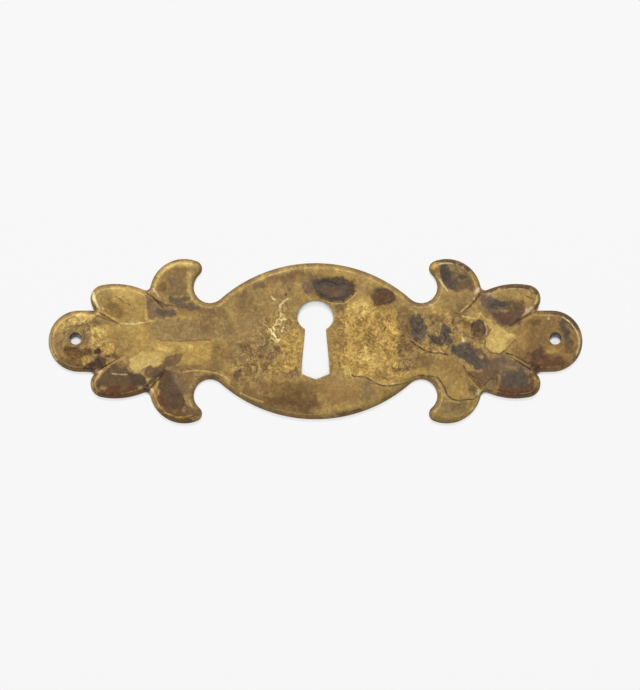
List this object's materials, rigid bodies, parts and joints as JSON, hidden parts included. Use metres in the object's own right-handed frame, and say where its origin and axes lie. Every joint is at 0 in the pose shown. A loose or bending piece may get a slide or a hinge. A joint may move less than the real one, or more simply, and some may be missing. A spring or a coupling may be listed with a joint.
{
  "type": "keyhole escutcheon",
  "caption": "Long ornamental keyhole plate pressed from aged brass sheet, with an oval middle, curled hooks, leaves and round end lobes with pin holes.",
  "frame": {"origin": "under the middle of the outline, in the plane of the rim that meets the drawer front", "axes": "+X along the plate, +Y towards the round end of the keyhole, +Z out of the front face"},
  "size_m": [0.0888, 0.0274, 0.0015],
  "materials": {
    "aged_brass": "aged, mottled patina"
  },
  "bodies": {
    "root": {"escutcheon_plate": "aged_brass"}
  },
  "joints": []
}
